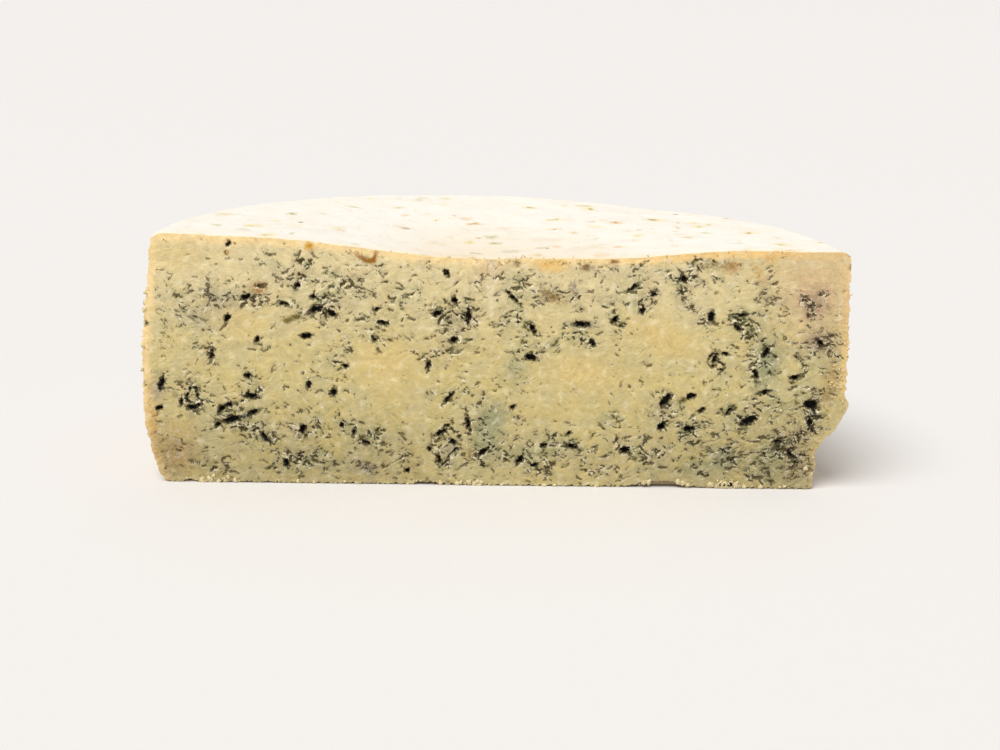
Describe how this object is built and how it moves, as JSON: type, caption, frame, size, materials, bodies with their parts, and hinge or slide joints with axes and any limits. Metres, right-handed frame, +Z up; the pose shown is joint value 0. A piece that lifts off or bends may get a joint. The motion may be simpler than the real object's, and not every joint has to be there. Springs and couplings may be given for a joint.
{
  "type": "half wheel of blue cheese",
  "caption": "Half a wheel of blue-veined cheese with a flat, pitted cut face, a sunken top and a thin natural rind, standing on its flat base.",
  "frame": {"origin": "on the ground plane, under the middle of the part's box", "axes": "+X along the cut face, to the right when looking at it; +Y from the cut face into the half wheel; +Z up, from the flat base"},
  "size_m": [0.212, 0.1062, 0.0762],
  "materials": {
    "paste": "moist matte paste, pale yellow-beige with blue-green mould veins; paler beige rind"
  },
  "bodies": {
    "root": {"cheese": "paste"}
  },
  "joints": []
}
